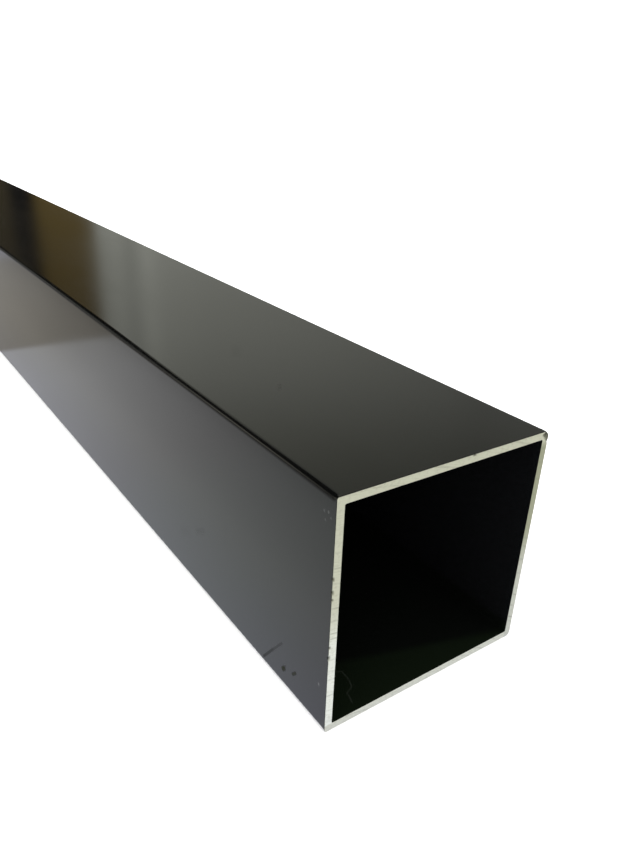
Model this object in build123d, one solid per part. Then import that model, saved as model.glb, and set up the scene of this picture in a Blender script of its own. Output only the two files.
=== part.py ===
from build123d import *
import os

# A plain square box section: one aluminium extrusion, open right through,
# sawn square at both ends. It has no holes, joints or fasteners.
# Millimetres. The origin is the middle of the underside. +X runs along the
# tube and +Z is up, so the tube lies on the plane z = 0.

# Driving dimensions
WIDTH = 50.0         # across the flats, the same both ways
WALL = 1.6           # the same on all four sides
LENGTH = 500.0       # from one sawn end to the other
OUTER_RADIUS = 1.0   # the four long outside corners
INNER_RADIUS = 0.3   # the four long corners of the bore

# Worked out from them
BORE_WIDTH = WIDTH - 2 * WALL


def cross_section():
    """The extrusion's profile: a square ring with rounded corners."""
    outside = RectangleRounded(WIDTH, WIDTH, OUTER_RADIUS)
    bore = RectangleRounded(BORE_WIDTH, BORE_WIDTH, INNER_RADIUS)
    return outside - bore


def box_section():
    """The whole tube, lying along X on z = 0."""
    tube = extrude(Plane.YZ * cross_section(), amount=LENGTH / 2, both=True)
    return Pos(0, 0, WIDTH / 2) * tube


def main():
    os.makedirs("parts", exist_ok=True)
    nodes = {"box_section": box_section()}
    for name, solid in nodes.items():
        export_step(solid, os.path.join("parts", name + ".step"))
        print(name, "volume", round(solid.volume, 1), "mm3, size", solid.bounding_box().size)


main()
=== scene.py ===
import math
import random

import bmesh
import bpy
from mathutils import Matrix, Vector, noise


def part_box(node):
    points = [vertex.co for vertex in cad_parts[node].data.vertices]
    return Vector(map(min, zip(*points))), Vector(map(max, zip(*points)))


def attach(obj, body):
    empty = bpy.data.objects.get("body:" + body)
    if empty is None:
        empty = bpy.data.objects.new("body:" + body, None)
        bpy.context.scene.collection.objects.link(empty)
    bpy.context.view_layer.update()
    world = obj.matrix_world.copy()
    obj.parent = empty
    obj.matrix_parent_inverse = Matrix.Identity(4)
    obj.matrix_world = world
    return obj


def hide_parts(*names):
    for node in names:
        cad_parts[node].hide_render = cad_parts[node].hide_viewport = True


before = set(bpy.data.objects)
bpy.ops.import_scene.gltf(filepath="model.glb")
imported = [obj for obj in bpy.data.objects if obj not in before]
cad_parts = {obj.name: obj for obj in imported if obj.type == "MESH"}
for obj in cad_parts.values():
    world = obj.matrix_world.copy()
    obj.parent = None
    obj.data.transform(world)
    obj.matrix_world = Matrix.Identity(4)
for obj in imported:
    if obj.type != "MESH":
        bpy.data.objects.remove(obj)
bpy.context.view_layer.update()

# A length of black anodised square aluminium tube, sawn square at both ends.
# Metres, in the CAD frame: +X along the tube, +Z up, the tube lies on z = 0.
# One mesh stands for the CAD solid, with the same sizes. It adds what the
# saw and handling left: saw lines, worn edges, chips and one bruised corner.

MM = 0.001
LOW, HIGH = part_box("box_section")

# ---------------------------------------------------------------- sizes
WIDTH = HIGH.z - LOW.z
HALF = WIDTH / 2
WALL = 1.6 * MM
OUTER_RADIUS = 1.0 * MM
INNER_RADIUS = 0.3 * MM
MIDDLE_Z = (LOW.z + HIGH.z) / 2

CORNER_STEPS = 8          # faces round each long corner
FLAT_STEPS = 300          # faces across each flat, for the saw lines in the cut
WALL_STEPS = 7            # faces across the wall in the cut
EDGE = 0.07 * MM          # how far the sawn edges are rounded over
EDGE_MIDDLE = EDGE * 0.3  # the middle of that rounding, from either face
HOLD_LOOPS = (0.2, 0.45, 0.75, 1.1, 1.5, 2.0, 2.6, 4.0)   # mm back from each cut

# The long corners, in the order +Y +Z, -Y +Z, -Y -Z, +Y -Z. At the cut itself
# the saw's burr leaves some of them sharper or rounder.
LONG_RADII = (OUTER_RADIUS,) * 4
BURRED_RADII = (OUTER_RADIUS, 0.3 * MM, 0.55 * MM, OUTER_RADIUS)
BURR_REACH = 0.8 * MM

# The saw: its blade's centre is below the tube and beyond the -Y side, so it
# leaves shallow arcs. The deeper lines, the scores, are placed by the height in mm
# at which each crosses the -Y wall, or would cross it if the wall went on up.
BLADE_Y = -HALF - 26 * MM
BLADE_Z = -HALF - 125 * MM
BLADE_SHAKE = 0.12 * MM
SCORE_HEIGHTS = (
    47.2, 44.2, 41.5, 39.6, 36.6, 33.5, 28.5, 25.8, 23.1, 22.0, 19.0, 17.2, 14.6, 12.7, 9.0, 5.3, 2.5,
    50.8, 54.0, 57.5, 60.2,
)
FAR_SCORES_TOP = WIDTH / MM + 14
SCORE_DEPTH = 0.03 * MM
SCORE_GRIME_AND_SHADE = 0.45         # how dark the deepest score is, where a chip's middle is 1: part grime, part painted shade
FINE_GROOVES = 70

# Chips out of the outside edges of the cut at +X: (y, z, size), from the tube's axis.
CHIPS = (
    (-HALF, 9.7 * MM, 0.55 * MM), (-HALF, 7.0 * MM, 0.6 * MM), (-HALF, 5.5 * MM, 0.35 * MM),
    (-HALF, -4.8 * MM, 0.4 * MM), (-HALF, -7.1 * MM, 0.6 * MM), (4.8 * MM, HALF, 0.5 * MM),
)
FAR_CHIPS = 5
CHIP_REACH = 0.42 * MM    # how far into the wall a chip goes

# The bruised corner at +X +Y +Z: a blunt nose that starts in a crease across
# the cut, rolls over to the outside and stands a little proud of the side.
BRUISE = 2.85 * MM        # along the side's edge from the corner
BRUISE_TOP = 1.2 * MM     # along the top's edge
BRUISE_SLOPE = 0.68       # of the crease that runs down from there
BRUISE_ACROSS = 1.2       # it ends this much sooner across the cut than down it
BRUISE_BACK = 2.2         # and this much sooner back along the tube
BRUISE_FADE = 0.35 * MM   # over this it comes up to its full depth
BRUISE_BARE = 0.12 * MM   # and over this its film gives way to scuffed metal
BRUISE_RADIUS = 0.9 * MM
BRUISE_LIP = 0.42 * MM    # how far it stands out past the side
BRUISE_LIP_WIDTH = 1.6 * MM
BRUISE_DOME = 0.12 * MM   # and past the cut

BLACK, BARE = 0, 1        # the mesh's two materials


# ---------------------------------------------------------------- the mesh
def square_loop(half, radii):
    """Points (y, z) once round a rounded square about the tube's axis."""
    points = []
    for quarter, radius in enumerate(radii):
        first = math.radians(90 * quarter)
        centre_y = (half - radius) * (1 if quarter in (0, 3) else -1)
        centre_z = (half - radius) * (1 if quarter in (0, 1) else -1)
        for step in range(CORNER_STEPS + 1):
            angle = first + math.radians(90) * step / CORNER_STEPS
            points.append((centre_y + radius * math.cos(angle), centre_z + radius * math.sin(angle)))
        flat = 2 * half - radius - radii[(quarter + 1) % 4]
        end_y, end_z = points[-1]
        for step in range(1, FLAT_STEPS):
            travel = flat * step / FLAT_STEPS
            points.append((end_y - travel * math.sin(angle), end_z + travel * math.cos(angle)))
    return points


def between(first, second, share):
    return first + (second - first) * share


def ease(value, low, high):
    """0 below low, 1 above high and a smooth step between them."""
    share = min(1.0, max(0.0, (value - low) / (high - low)))
    return share * share * (3 - 2 * share)


def blade_radius(y, z):
    """Distance from the blade's centre, a little unsteady as the saw was."""
    shake = BLADE_SHAKE * noise.noise(Vector((y * 300, z * 300, 0)))
    return math.hypot(y - BLADE_Y, z - BLADE_Z) + shake


def saw_scores(rng, heights):
    """The deeper lines of one cut: (radius from the blade's centre, strength, half width)."""
    scores = []
    for height in heights:
        radius = math.hypot(-HALF + WALL / 2 - BLADE_Y, height * MM - HALF - BLADE_Z)
        scores.append((radius, rng.uniform(0.35, 1.0), rng.uniform(0.15, 0.24) * MM))
    return scores


def fine_grooves(rng):
    """The saw's texture: (radius from the blade's centre, depth, half width)."""
    near = math.hypot(-HALF - BLADE_Y, -HALF - BLADE_Z)
    far = math.hypot(HALF - BLADE_Y, HALF - BLADE_Z)
    return [(rng.uniform(near, far), rng.uniform(0.004, 0.014) * MM, rng.uniform(0.15, 0.5) * MM)
            for _ in range(FINE_GROOVES)]


def score_share(y, z, scores):
    """How deep in a score (y, z) lies, from 0 to 1. A score is broken along its length."""
    radius = blade_radius(y, z)
    share = 0.0
    for centre, strength, half in scores:
        away = abs(radius - centre) / half
        if away < 1:
            broken = 0.65 + 0.6 * noise.noise(Vector((centre * 900, y * 220, z * 220)))
            share = max(share, strength * (1 - away) * broken)
    return share


def groove_depth(y, z, grooves):
    """How deep the fine grooves are together at (y, z)."""
    radius = blade_radius(y, z)
    return sum(deep * max(0.0, 1 - abs(radius - centre) / half) for centre, deep, half in grooves)


def chip_share(y, z, chips):
    """How far a sawn edge is broken back at (y, z), and how dark the break is, 0 to 1. The dark is part
    grime, part painted shade in the break.
    """
    depth = 0.0
    dark = 0.0
    for chip_y, chip_z, size in chips:
        away = math.hypot(y - chip_y, z - chip_z) / size
        if away < 1:
            depth = max(depth, size * 0.5 * (1 - away * away))
            dark = max(dark, 1 - away * away)
    return depth, dark


def bruise(point):
    """Rounds the struck corner over. Returns the moved point and how bruised it is, 0 to 1."""
    back = HIGH.x - point.x
    across = HIGH.y - point.y
    down = HIGH.z - point.z
    inside_edge = BRUISE - BRUISE_ACROSS * across - down - BRUISE_BACK * back
    past_crease = down + BRUISE_SLOPE * (BRUISE_TOP - across)
    reach = min(inside_edge, past_crease)
    if reach <= 0:
        return point, 0.0
    share = ease(reach, 0, BRUISE_FADE)
    middle = HIGH - Vector((BRUISE_RADIUS,) * 3)
    over = point - middle
    outside = Vector([max(0.0, part) for part in over])
    if outside.length > BRUISE_RADIUS:
        over += outside * (BRUISE_RADIUS / outside.length - 1)
    rounded = middle + over
    bulge = math.sin(math.pi * min(1.0, down / BRUISE)) * max(0.0, 1 - back / MM)
    rounded.y += BRUISE_LIP * bulge * max(0.0, 1 - across / BRUISE_LIP_WIDTH)
    rounded.x += BRUISE_DOME * bulge
    return point.lerp(rounded, share), ease(reach, 0, BRUISE_BARE)


def stations():
    """The path round the wall, from outside to inside at each cut: (end, back, depth).

    end is +1 or -1, back the distance from the cut, depth the distance into the wall.
    """
    steps = [(loop * MM, 0.0) for loop in reversed(HOLD_LOOPS)]
    steps += [(EDGE, 0.0), (EDGE_MIDDLE, EDGE_MIDDLE)]
    for step in range(WALL_STEPS + 1):
        steps.append((0.0, EDGE + (WALL - 2 * EDGE) * step / WALL_STEPS))
    steps += [(EDGE_MIDDLE, WALL - EDGE_MIDDLE), (EDGE, WALL)]
    steps += [(loop * MM, WALL) for loop in HOLD_LOOPS[::2]]
    near = [(1, back, depth) for back, depth in steps]
    far = [(-1, back, depth) for back, depth in reversed(steps)]
    return near + far


def tube_mesh():
    """The whole tube in one closed skin. Scores, grooves and chips are kept by end, +1 or -1."""
    rng = random.Random(11)
    outer = square_loop(HALF, LONG_RADII)
    burred = square_loop(HALF, BURRED_RADII)
    inner = square_loop(HALF - WALL, (INNER_RADIUS,) * 4)
    far_heights = [2.0]
    while far_heights[-1] < FAR_SCORES_TOP:
        far_heights.append(far_heights[-1] + rng.uniform(1.4, 4.4))
    scores = {1: saw_scores(rng, SCORE_HEIGHTS), -1: saw_scores(rng, far_heights)}
    grooves = {end: fine_grooves(rng) for end in (1, -1)}
    far_chips = [(rng.choice((-HALF, HALF)), rng.uniform(-HALF, HALF), rng.uniform(0.3, 0.5) * MM)
                 for _ in range(FAR_CHIPS)]
    chips = {1: CHIPS, -1: far_chips}
    path = stations()
    built = bmesh.new()
    grime_and_painted_shade_layer = built.verts.layers.float.new("grime_and_painted_shade")
    bruise_layer = built.verts.layers.float.new("bruise")
    rings = []
    for end, back, depth in path:
        ring = []
        share = depth / WALL
        burr = max(0.0, 1 - back / BURR_REACH) ** 2
        for (oy, oz), (by, bz), (iy, iz) in zip(outer, burred, inner):
            out_y = between(oy, by, burr)
            out_z = between(oz, bz, burr)
            y = between(out_y, iy, share)
            z = between(out_z, iz, share)
            sunk = 0.0
            grime_and_painted_shade = 0.0
            if back < HOLD_LOOPS[0] * MM:
                score = score_share(y, z, scores[end])
                worn, dark = chip_share(out_y, out_z, chips[end])
                lip = max(0.0, 1 - depth / CHIP_REACH)
                sunk = groove_depth(y, z, grooves[end]) + SCORE_DEPTH * score + worn * lip
                # Darker in the scores and chips: part grime, part painted shade in these hollows.
                grime_and_painted_shade = max(SCORE_GRIME_AND_SHADE * score, dark * min(1.0, 1.6 * lip))
            x = (HIGH.x if end > 0 else -LOW.x) - back - sunk
            point = Vector((end * x, y, MIDDLE_Z + z))
            bruised = 0.0
            if end > 0:
                point, bruised = bruise(point)
            vertex = built.verts.new(point)
            vertex[grime_and_painted_shade_layer] = grime_and_painted_shade
            vertex[bruise_layer] = bruised
            ring.append(vertex)
        rings.append(ring)
    count = len(outer)
    for row, ring in enumerate(rings):
        next_row = (row + 1) % len(rings)
        following = rings[next_row]
        in_cut = path[row][1] < EDGE * 0.5 and path[next_row][1] < EDGE * 0.5
        same_end = path[row][0] == path[next_row][0]
        for index in range(count):
            after = (index + 1) % count
            face = built.faces.new((ring[index], ring[after], following[after], following[index]))
            face.smooth = True
            bruised = min(corner[bruise_layer] for corner in face.verts) > 0.5
            face.material_index = BARE if same_end and (in_cut or bruised) else BLACK
    bmesh.ops.recalc_face_normals(built, faces=built.faces)
    mesh = bpy.data.meshes.new("box_section_tube")
    built.to_mesh(mesh)
    built.free()
    return mesh


# ---------------------------------------------------------------- node helpers
def add(tree, kind, **settings):
    made = tree.nodes.new("ShaderNode" + kind)
    for name, value in settings.items():
        setattr(made, name, value)
    return made


def put(tree, value, socket):
    """Links value into socket if it is a node's output, or sets it if it is a number or colour."""
    if isinstance(value, bpy.types.NodeSocket):
        tree.links.new(value, socket)
    else:
        socket.default_value = value


def maths(tree, operation, *values, clamp=False):
    made = add(tree, "Math", operation=operation, use_clamp=clamp)
    for value, socket in zip(values, made.inputs):
        put(tree, value, socket)
    return made.outputs[0]


def multiply_add(tree, value, factor, added):
    return maths(tree, "MULTIPLY_ADD", value, factor, added)


def vector(tree, operation, *values):
    made = add(tree, "VectorMath", operation=operation)
    for value, socket in zip(values, made.inputs):
        put(tree, value, socket)
    return made.outputs["Value" if operation in ("DOT_PRODUCT", "LENGTH", "DISTANCE") else "Vector"]


def spread(tree, value, low, high, to_low=0.0, to_high=1.0, shape="SMOOTHSTEP"):
    """Maps low..high to to_low..to_high and holds it at both ends."""
    made = add(tree, "MapRange", interpolation_type=shape)
    for name, given in (("Value", value), ("From Min", low), ("From Max", high),
                        ("To Min", to_low), ("To Max", to_high)):
        put(tree, given, made.inputs[name])
    return made.outputs[0]


def ramp(tree, value, stops, low=0.0, high=1.0):
    """A colour ramp with stops of (value, colour), for a value from low to high."""
    made = add(tree, "ValToRGB")
    elements = made.color_ramp.elements
    while len(elements) > 1:
        elements.remove(elements[-1])
    for index, (place, colour) in enumerate(stops):
        position = (place - low) / (high - low)
        element = elements[0] if index == 0 else elements.new(position)
        element.position = position
        element.color = (*colour, 1.0)
    put(tree, spread(tree, value, low, high, shape="LINEAR"), made.inputs["Fac"])
    return made.outputs["Color"]


def separate(tree, place):
    """The x, y and z of a place."""
    made = add(tree, "SeparateXYZ")
    put(tree, place, made.inputs[0])
    return made.outputs


def add_bump(tree, shader, height, strength, distance):
    """Bumps the shader's surface by height."""
    bump = add(tree, "Bump")
    bump.inputs["Strength"].default_value = strength
    bump.inputs["Distance"].default_value = distance
    put(tree, height, bump.inputs["Height"])
    put(tree, bump.outputs[0], shader.inputs["Normal"])


def grain(tree, place, scale, detail=3.0, stretch=(1, 1, 1), distort=0.0):
    """Noise in the tube's own metres: scale is in patches per metre."""
    mapping = add(tree, "Mapping")
    mapping.inputs["Scale"].default_value = stretch
    put(tree, place, mapping.inputs["Vector"])
    made = add(tree, "TexNoise")
    made.inputs["Scale"].default_value = scale
    made.inputs["Detail"].default_value = detail
    made.inputs["Distortion"].default_value = distort
    put(tree, mapping.outputs[0], made.inputs["Vector"])
    return made.outputs["Fac"]


def mix_colour(tree, share, first, second, blend="MIX"):
    made = add(tree, "Mix", data_type="RGBA", blend_type=blend)
    put(tree, share, made.inputs["Factor"])
    put(tree, first, made.inputs[6])
    put(tree, second, made.inputs[7])
    return made.outputs[2]


def grey(value, red=1.0, green=1.0, blue=1.0):
    return (value * red, value * green, value * blue)


def new_material(name):
    material = bpy.data.materials.new(name)
    material.use_nodes = True
    tree = material.node_tree
    return material, tree, tree.nodes["Principled BSDF"]


# ---------------------------------------------------------------- marks on the film
def on_side(back, up):
    """A point on the -Y side, in mm back from the +X end and up from the underside."""
    return Vector((HIGH.x - back * MM, LOW.y, LOW.z + up * MM))


def on_top(back, across):
    """A point on the top, in mm back from the +X end and across from the -Y side."""
    return Vector((HIGH.x - back * MM, LOW.y + across * MM, HIGH.z))


def on_bore_floor(back, across):
    """The same as on_top, but on the floor of the bore."""
    return Vector((HIGH.x - back * MM, LOW.y + across * MM, LOW.z + WALL))


# Each mark is (start, end, half width in mm, strength).
# Dull: a scratch in two stretches, two dark specks, and faint spots and smears.
DULL_MARKS = (
    (on_side(15.1, 10.1), on_side(18.4, 6.1), 0.32, 0.38),
    (on_side(18.4, 6.1), on_side(22.0, 1.6), 0.35, 0.5),
    (on_side(14.6, 4.0), on_side(14.1, 4.6), 0.52, 1.0),
    (on_side(14.2, 4.6), on_side(13.7, 5.4), 0.40, 0.35),
    (on_side(11.1, 5.4), on_side(10.1, 6.5), 0.38, 0.7),
    (on_side(14.0, 11.7), on_side(13.8, 11.7), 0.50, 0.12),
    (on_side(48.4, 17.4), on_side(51.8, 15.4), 1.00, 0.13),
    (on_side(57.0, 12.6), on_side(60.0, 11.0), 1.20, 0.07),
    (on_side(37.6, 24.3), on_side(38.3, 19.0), 0.90, 0.07),
    (on_top(45.2, 17.3), on_top(42.7, 15.8), 0.45, 0.15),
    (on_top(72.1, 21.5), on_top(65.6, 18.0), 1.20, 0.07),
)
# Pale: small specks near the cut.
PALE_MARKS = (
    (on_side(2.15, 46.5), on_side(2.05, 46.3), 0.16, 0.2),
    (on_side(3.3, 46.2), on_side(3.2, 46.0), 0.18, 0.13),
    (on_side(1.4, 45.7), on_side(1.4, 45.5), 0.15, 0.14),
    (on_side(2.9, 44.7), on_side(2.8, 44.5), 0.16, 0.13),
    (on_side(2.5, 10.1), on_side(2.5, 9.9), 0.24, 0.3),
)
# A hooked scratch on the bore's floor, given by its bends.
BORE_SCRATCH = (
    on_bore_floor(10.3, 9.8), on_bore_floor(9.7, 10.9), on_bore_floor(7.4, 10.8), on_bore_floor(5.2, 10.1),
    on_bore_floor(4.4, 8.3), on_bore_floor(3.4, 8.2), on_bore_floor(1.9, 7.7),
)
BORE_SCRATCH_WIDTH = 0.12


def mark(tree, place, start, end, half, strength):
    """strength within half mm of the line from start to end, fading to 0 beyond it."""
    run = end - start
    from_start = vector(tree, "SUBTRACT", place, start)
    reached = vector(tree, "DOT_PRODUCT", from_start, run)
    along = maths(tree, "DIVIDE", reached, run.length_squared, clamp=True)
    nearest = add(tree, "VectorMath", operation="SCALE")
    nearest.inputs[0].default_value = run
    put(tree, along, nearest.inputs["Scale"])
    away = vector(tree, "LENGTH", vector(tree, "SUBTRACT", from_start, nearest.outputs[0]))
    return spread(tree, away, 0.35 * half * MM, 1.5 * half * MM, strength, 0.0)


def marks(tree, place, lines):
    """The strongest of several marks."""
    strongest = 0.0
    for line in lines:
        strongest = maths(tree, "MAXIMUM", mark(tree, place, *line), strongest)
    return strongest


# ---------------------------------------------------------------- materials
def bore_film_with_painted_light(tree, x, y, z):
    """The film in the bore, with painted light: the walls a little paler than the floor, and faint light
    from the mouth painted on a triangle of the floor.
    """
    low = spread(tree, z, LOW.z + 3 * MM, LOW.z + 5 * MM, 1.0, 0.0)
    slant = multiply_add(tree, y, 0.32, maths(tree, "SUBTRACT", HIGH.x, x))
    lit = maths(tree, "MULTIPLY", low, spread(tree, slant, 6.5 * MM, 9.5 * MM, 1.0, 0.0))
    floor_film_with_painted_light = mix_colour(tree, lit, (0.002, 0.0025, 0.002, 1), (0.0036, 0.0057, 0.003, 1))
    return mix_colour(tree, low, (0.0035, 0.0038, 0.0042, 1), floor_film_with_painted_light)


def inside_bore(tree, y, z):
    """1 inside the bore and 0 outside, changing in the middle of the wall."""
    across = maths(tree, "ABSOLUTE", y)
    up = maths(tree, "ABSOLUTE", maths(tree, "SUBTRACT", z, MIDDLE_Z))
    return spread(tree, maths(tree, "MAXIMUM", across, up), HALF - WALL * 0.6, HALF - WALL * 0.4, 1.0, 0.0)


def black_anodised():
    """A smooth semi-gloss black film, slightly cloudy, with the marks of handling."""
    material, tree, shader = new_material("black_anodised")
    place = add(tree, "TexCoord").outputs["Object"]
    x, y, z = separate(tree, place)
    shader.inputs["IOR"].default_value = 1.5
    cloud = grain(tree, place, 45, detail=4.0, stretch=(0.35, 1, 1))
    fine = grain(tree, place, 2600, detail=2.0)
    lines = grain(tree, place, 1500, detail=2.0, stretch=(0.012, 1, 1))
    dull = marks(tree, place, DULL_MARKS)
    pale = marks(tree, place, PALE_MARKS)
    stretches = zip(BORE_SCRATCH, BORE_SCRATCH[1:])
    scratch = marks(tree, place, [(start, end, BORE_SCRATCH_WIDTH, 1.0) for start, end in stretches])
    cloudy = spread(tree, cloud, 0.3, 0.7)
    film = mix_colour(tree, cloudy, (0.0008, 0.0009, 0.0009, 1), (0.0014, 0.0014, 0.0012, 1))
    # Inside the bore the film's colour carries painted light on its walls and floor.
    film = mix_colour(tree, inside_bore(tree, y, z), film, bore_film_with_painted_light(tree, x, y, z))
    film = mix_colour(tree, spread(tree, dull, 0.45, 0.8), film, (0.013, 0.014, 0.005, 1))
    film = mix_colour(tree, scratch, film, (0.014, 0.017, 0.013, 1))
    film = mix_colour(tree, pale, film, (0.16, 0.17, 0.165, 1))
    put(tree, film, shader.inputs["Base Color"])
    rough = multiply_add(tree, fine, 0.02, spread(tree, cloud, 0.25, 0.75, 0.11, 0.16))
    rough = maths(tree, "ADD", rough, maths(tree, "MULTIPLY", dull, 0.9), clamp=True)
    put(tree, rough, shader.inputs["Roughness"])
    height = multiply_add(tree, lines, 0.6, maths(tree, "MULTIPLY", fine, 0.4))
    add_bump(tree, shader, height, 0.04, 0.03 * MM)
    return material


def blade_coordinates(tree, place):
    """The place in the saw's own terms: across its arcs in X, along them in Y."""
    centre = Vector((0, BLADE_Y, MIDDLE_Z + BLADE_Z))
    _, y, z = separate(tree, vector(tree, "SUBTRACT", place, centre))
    squares = maths(tree, "ADD", maths(tree, "MULTIPLY", y, y), maths(tree, "MULTIPLY", z, z))
    radius = maths(tree, "SQRT", squares)
    arc = maths(tree, "MULTIPLY", maths(tree, "ARCTAN2", z, y), 0.16)
    joined = add(tree, "CombineXYZ")
    put(tree, radius, joined.inputs[0])
    put(tree, arc, joined.inputs[1])
    return joined.outputs[0]


def cut_tone(tree, y, z):
    """The cut's tone by place: paler below mid-height, less so on the bottom wall, darker on the +Y wall.

    The change with height is a painted reflection: pale low down, where the cut faces the white table top,
    and cream higher up, where it faces the warmer room.
    """
    upper = spread(tree, z, LOW.z + 19 * MM, LOW.z + 29 * MM)
    # Pale below and cream above: a painted reflection of the white table in front and the warmer room.
    painted_reflection_tone = mix_colour(tree, upper, (0.95, 0.96, 0.935, 1), (0.75, 0.75, 0.665, 1))
    bottom_wall = spread(tree, z, LOW.z + 1.4 * MM, LOW.z + 1.8 * MM, 1.0, 0.0)
    painted_reflection_tone = mix_colour(tree, bottom_wall, painted_reflection_tone, (0.78, 0.775, 0.71, 1))
    dulled_with_painted_reflection = mix_colour(tree, upper, (0.67, 0.67, 0.625, 1), (0.46, 0.47, 0.365, 1))
    far_wall = maths(tree, "MULTIPLY", spread(tree, y, HALF - 2.2 * MM, HALF - 1.5 * MM),
                     spread(tree, z, HIGH.z - 3.4 * MM, HIGH.z - 1.6 * MM, 1.0, 0.0))
    return mix_colour(tree, far_wall, painted_reflection_tone, dulled_with_painted_reflection)


def bare_sawn():
    """Bare metal, finely streaked along the saw's arcs, with grime and painted shade in the scores and
    chips, and a painted reflection that changes with height.
    """
    material, tree, shader = new_material("bare_sawn_aluminium")
    place = add(tree, "TexCoord").outputs["Object"]
    shader.inputs["Metallic"].default_value = 1.0
    grime_and_painted_shade = add(tree, "Attribute", attribute_name="grime_and_painted_shade").outputs["Fac"]
    bruised = add(tree, "Attribute", attribute_name="bruise").outputs["Fac"]
    sawn = blade_coordinates(tree, place)
    streak = grain(tree, sawn, 4200, detail=3.0, stretch=(1, 0.12, 1))
    patch = grain(tree, sawn, 420, detail=3.0, stretch=(1, 0.5, 1))
    fine = grain(tree, place, 3000, detail=2.0)
    speckle = grain(tree, place, 1300, detail=2.0)
    _, y, z = separate(tree, place)
    colour = cut_tone(tree, y, z)
    colour = mix_colour(tree, spread(tree, patch, 0.35, 0.7, 0.0, 0.12), colour, (0.55, 0.55, 0.48, 1))
    colour = mix_colour(tree, spread(tree, speckle, 0.5, 0.75, 0.0, 0.3), colour, (0.5, 0.48, 0.42, 1))
    colour = mix_colour(tree, spread(tree, streak, 0.5, 0.75, 0.0, 0.35), colour, (0.5, 0.5, 0.43, 1))
    # The scores and chips darkened: part grime, part painted shade.
    colour = mix_colour(tree, grime_and_painted_shade, colour, (0.03, 0.028, 0.02, 1))
    mottled = spread(tree, fine, 0.35, 0.65)
    scuffed = mix_colour(tree, mottled, (0.13, 0.13, 0.105, 1), (0.27, 0.27, 0.225, 1))
    colour = mix_colour(tree, bruised, colour, scuffed)
    put(tree, colour, shader.inputs["Base Color"])
    rough = multiply_add(tree, bruised, 0.1, spread(tree, streak, 0.2, 0.8, 0.40, 0.54))
    put(tree, rough, shader.inputs["Roughness"])
    add_bump(tree, shader, streak, 0.25, 0.02 * MM)
    return material


# ---------------------------------------------------------------- the piece
def make_tube():
    tube = bpy.data.objects.new("box_section_tube", tube_mesh())
    bpy.context.scene.collection.objects.link(tube)
    tube.data.materials.append(black_anodised())
    tube.data.materials.append(bare_sawn())
    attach(tube, "root")
    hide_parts("box_section")


# ---------------------------------------------------------------- studio
# What glossy surfaces see round the tube: a pale wall, a dark corner with a brown
# post and a small lamp. Round angles are degrees from -X towards +Y, and up angles
# are degrees above the horizon.
WARM = (1.0, 1.02, 0.90)
WALL_TONES = (
    (0, 0.54), (18.2, 0.54), (19.2, 0.60), (20.1, 0.44), (21.3, 0.68), (22.4, 0.55), (24, 0.53), (26, 0.50),
    (34, 0.445), (40, 0.39), (46, 0.34), (49, 0.285), (53, 0.30), (60, 0.30),
)
TONES_BY_HEIGHT = (
    (0, grey(0.76)), (9, grey(0.80)), (13, grey(0.86)), (17, grey(1.0)), (21, grey(1.04)), (23, grey(0.95)),
    (25, (0.84, 0.845, 0.80)), (29, (0.70, 0.70, 0.64)), (36, grey(0.60)), (60, grey(0.5)), (75, grey(1.0)),
)
DARK_TONES = (
    (11, (0.06, 0.05, 0.03)), (12, (0.05, 0.04, 0.02)), (12.6, grey(0.006)), (13.5, grey(0.006)),
    (14.2, (0.135, 0.095, 0.028)), (16.8, (0.14, 0.10, 0.035)), (17.2, (0.16, 0.13, 0.07)),
)
LAMP_DIRECTION = (-0.79, -0.58, 0.20)

# And on the floor beside the tube, by metres back from the +X end: a white table
# top to 247 mm, beige beyond it, then a pale strip and the dark. The second ramp
# dims it by metres out from the -Y side.
TABLE_TONES = (
    (0.0, (0.69, 0.70, 0.745)), (0.03, (0.72, 0.75, 0.755)), (0.05, (0.735, 0.77, 0.755)),
    (0.09, (0.745, 0.77, 0.76)), (0.122, grey(0.765)), (0.155, grey(0.805)), (0.2, grey(0.83)),
    (0.244, (0.80, 0.795, 0.78)), (0.249, (0.50, 0.47, 0.41)), (0.31, (0.55, 0.52, 0.46)),
    (0.39, (0.585, 0.56, 0.51)), (0.43, (0.60, 0.58, 0.54)), (0.45, (0.74, 0.74, 0.80)),
    (0.57, (0.74, 0.74, 0.80)), (0.59, grey(0.02)),
)
TABLE_FADE = (
    (0.0, (0.92, 0.93, 1.0)), (0.01, (0.96, 0.97, 1.0)), (0.018, grey(1.0)), (0.029, grey(0.93)),
    (0.047, grey(0.9)), (0.058, grey(0.52)), (0.12, grey(0.48)), (0.35, grey(0.48)), (0.5, grey(0.6)),
)


def only_in_reflections(tree, plain, reflected, out):
    """Shows plain to the camera and to diffuse light, and reflected in glossy surfaces."""
    both = add(tree, "MixShader")
    put(tree, add(tree, "LightPath").outputs["Is Glossy Ray"], both.inputs[0])
    put(tree, plain, both.inputs[1])
    put(tree, reflected, both.inputs[2])
    put(tree, both.outputs[0], out.inputs["Surface"])


def reflected_corner(tree, direction, round_angle, up_angle):
    """The dark corner, with its brown post, its lamp and a pale glow low down."""
    corner = ramp(tree, round_angle, DARK_TONES, 10, 18)
    corner = mix_colour(tree, spread(tree, round_angle, 0, 8), (0, 0, 0, 1), corner)
    corner = mix_colour(tree, spread(tree, up_angle, 16, 20), corner, (0, 0, 0, 1))
    lamp = spread(tree, vector(tree, "DISTANCE", direction, LAMP_DIRECTION), 0.07, 0.17, 1, 0)
    corner = mix_colour(tree, lamp, corner, (0.85, 0.80, 0.65, 1))
    glow = maths(tree, "MULTIPLY", spread(tree, up_angle, 2, 26, 0.27, 0.0),
                     spread(tree, round_angle, -14, -8, 1.0, 0.0))
    return mix_colour(tree, glow, corner, (1, 1, 0.9, 1))


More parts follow.
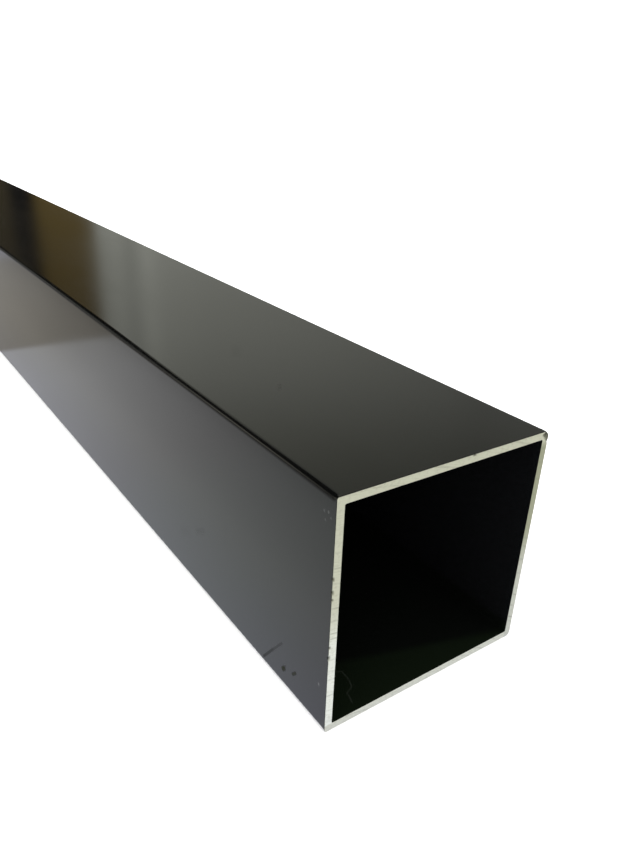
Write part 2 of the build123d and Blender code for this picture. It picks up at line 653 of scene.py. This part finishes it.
def reflected_wall(tree, round_angle, up_angle):
    """The pale wall, with its tones by angle round and by height."""
    wall = ramp(tree, round_angle, [(angle, grey(tone, *WARM)) for angle, tone in WALL_TONES], 0, 60)
    behind = spread(tree, maths(tree, "ABSOLUTE", round_angle), 60, 180)
    wall = mix_colour(tree, behind, wall, (*grey(0.50, *WARM), 1))
    return mix_colour(tree, 1.0, wall, ramp(tree, up_angle, TONES_BY_HEIGHT, 0, 90), blend="MULTIPLY")


def studio_world():
    """White all round. Glossy surfaces see a room instead."""
    world = bpy.data.worlds.new("studio")
    world.use_nodes = True
    bpy.context.scene.world = world
    tree = world.node_tree
    tree.nodes.clear()
    direction = add(tree, "TexCoord").outputs["Generated"]
    x, y, z = separate(tree, direction)
    round_angle = maths(tree, "DEGREES", maths(tree, "ARCTAN2", y, maths(tree, "MULTIPLY", x, -1.0)))
    up_angle = maths(tree, "DEGREES", maths(tree, "ARCSINE", z))
    # the pale wall starts further round near the horizon and high up than in between
    wall_edge = maths(tree, "SUBTRACT", 17.6, spread(tree, up_angle, 22, 31, 0, 20))
    wall_edge = maths(tree, "ADD", wall_edge, spread(tree, up_angle, 37, 43, 0, 18))
    past_edge = spread(tree, maths(tree, "SUBTRACT", round_angle, wall_edge), -0.2, 0.5)
    on_wall = maths(tree, "MAXIMUM", past_edge, spread(tree, round_angle, -75, -62, 1.0, 0.0))
    corner = reflected_corner(tree, direction, round_angle, up_angle)
    wall = reflected_wall(tree, round_angle, up_angle)
    room = add(tree, "Background")
    put(tree, mix_colour(tree, on_wall, corner, wall), room.inputs["Color"])
    plain = add(tree, "Background")
    plain.inputs["Color"].default_value = (1, 1, 1, 1)
    plain.inputs["Strength"].default_value = 2.2
    only_in_reflections(tree, plain.outputs[0], room.outputs[0], add(tree, "OutputWorld"))


def floor():
    """A pale floor. Glossy surfaces see a table top beside the tube, with an end and a far side."""
    bpy.ops.mesh.primitive_plane_add(size=12)
    plane = bpy.context.object
    plane.name = "floor"
    material, tree, shader = new_material("pale_floor")
    shader.inputs["Base Color"].default_value = (0.9, 0.9, 0.9, 1)
    shader.inputs["Roughness"].default_value = 0.9
    shader.inputs["Specular IOR Level"].default_value = 0.0
    x, y, _ = separate(tree, add(tree, "NewGeometry").outputs["Position"])
    back = maths(tree, "SUBTRACT", HIGH.x, x)
    out = maths(tree, "SUBTRACT", LOW.y, y)
    table = ramp(tree, back, TABLE_TONES, 0.0, 0.7)
    beside = mix_colour(tree, 1.0, table, ramp(tree, out, TABLE_FADE, 0.0, 0.5), blend="MULTIPLY")
    # dimmer beyond the tube
    beside = mix_colour(tree, spread(tree, out, -WIDTH, -WIDTH - 0.01, 0.0, 0.55), beside, (0, 0, 0, 1))
    # in front of the sawn end: white close to it, cream further off
    cream = spread(tree, back, -0.015, -0.035)
    ahead = mix_colour(tree, cream, (0.84, 0.87, 0.83, 1), (0.74, 0.75, 0.64, 1))
    seen = mix_colour(tree, spread(tree, back, -0.004, 0.004), ahead, beside)
    card = add(tree, "Emission")
    put(tree, seen, card.inputs["Color"])
    only_in_reflections(tree, shader.outputs[0], card.outputs[0], tree.nodes["Material Output"])
    plane.data.materials.append(material)


def camera():
    """Near the +X end, above the tube and outside its -Y side. Solved from the tube's edges."""
    made = bpy.data.cameras.new("camera")
    made.lens = 29.31
    made.sensor_width = 36.0
    made.clip_start = 0.005
    made.shift_x = -0.0292
    made.shift_y = 0.0248
    holder = bpy.data.objects.new("camera", made)
    bpy.context.scene.collection.objects.link(holder)
    bpy.context.scene.camera = holder
    holder.location = (HIGH.x + 74.54 * MM, LOW.y - 56.60 * MM, LOW.z + 104.04 * MM)
    look = Vector((-0.7079, 0.5472, -0.4467)).normalized()
    right = Vector((0.5893, 0.8061, 0.0537))
    right = (right - look * right.dot(look)).normalized()
    up = right.cross(look)
    holder.rotation_euler = Matrix((right, up, -look)).transposed().to_euler()


make_tube()
floor()
studio_world()
camera()
bpy.context.scene.view_settings.view_transform = "Standard"
